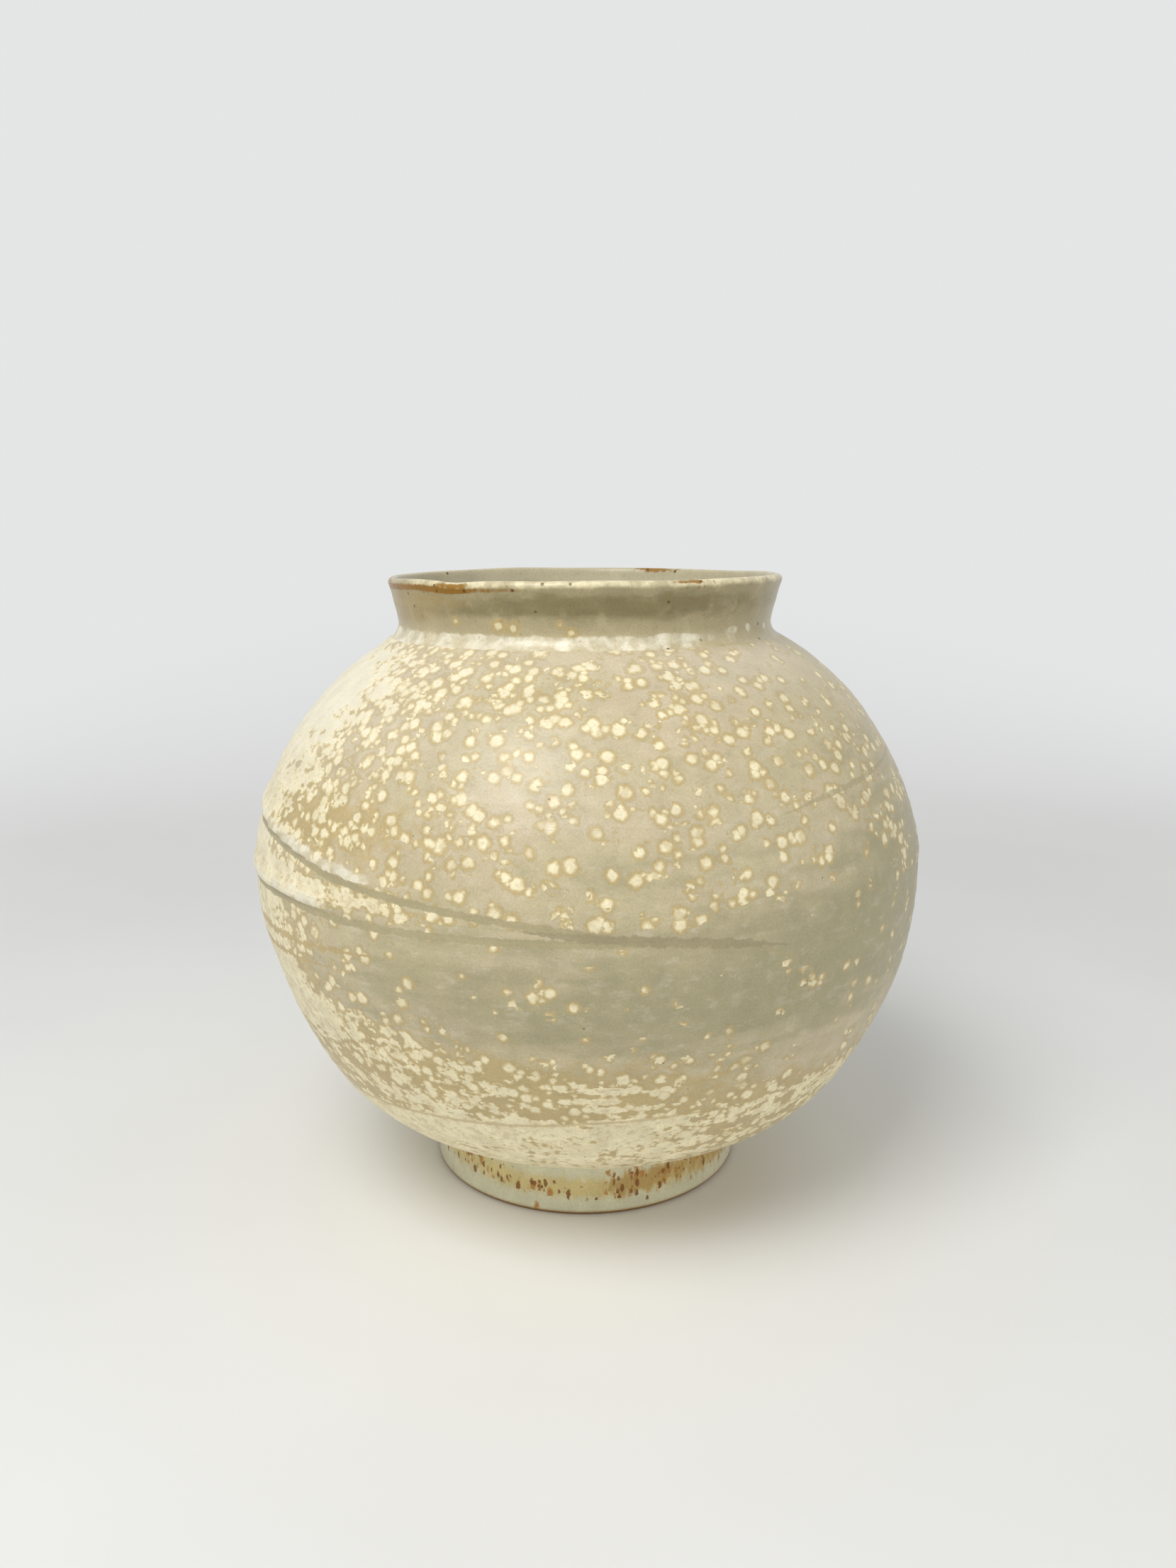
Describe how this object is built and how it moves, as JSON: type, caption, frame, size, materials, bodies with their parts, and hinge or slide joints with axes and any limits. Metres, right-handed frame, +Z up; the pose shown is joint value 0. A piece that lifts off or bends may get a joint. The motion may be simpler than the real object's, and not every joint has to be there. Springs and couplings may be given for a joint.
{
  "type": "moon jar",
  "caption": "Round-bellied glazed stoneware jar, thrown as bowls luted rim to rim, with a short flared neck collar and a turned foot ring.",
  "frame": {"origin": "centre of the circle that the foot ring stands on, at the surface it stands on", "axes": "+Z up along the jar's axis of revolution; -Y towards the side that the picture shows, +X to its right"},
  "size_m": [0.2684, 0.2684, 0.245],
  "materials": {
    "body_glaze": "satin-gloss grey-beige glaze with cream flecks",
    "neck_glaze": "satin-gloss olive-beige glaze, thin over the lip",
    "foot_glaze": "gloss greenish-white glaze with rust flecks, bare clay at its standing edge",
    "clay_slip": "fired slip under the glaze"
  },
  "bodies": {
    "root": {"foot_ring": "foot_glaze", "foot_slip": "clay_slip", "lower_bowl": "body_glaze", "belly_slip": "clay_slip", "upper_bowl": "body_glaze", "neck_slip": "clay_slip", "neck_collar": "neck_glaze"}
  },
  "joints": []
}
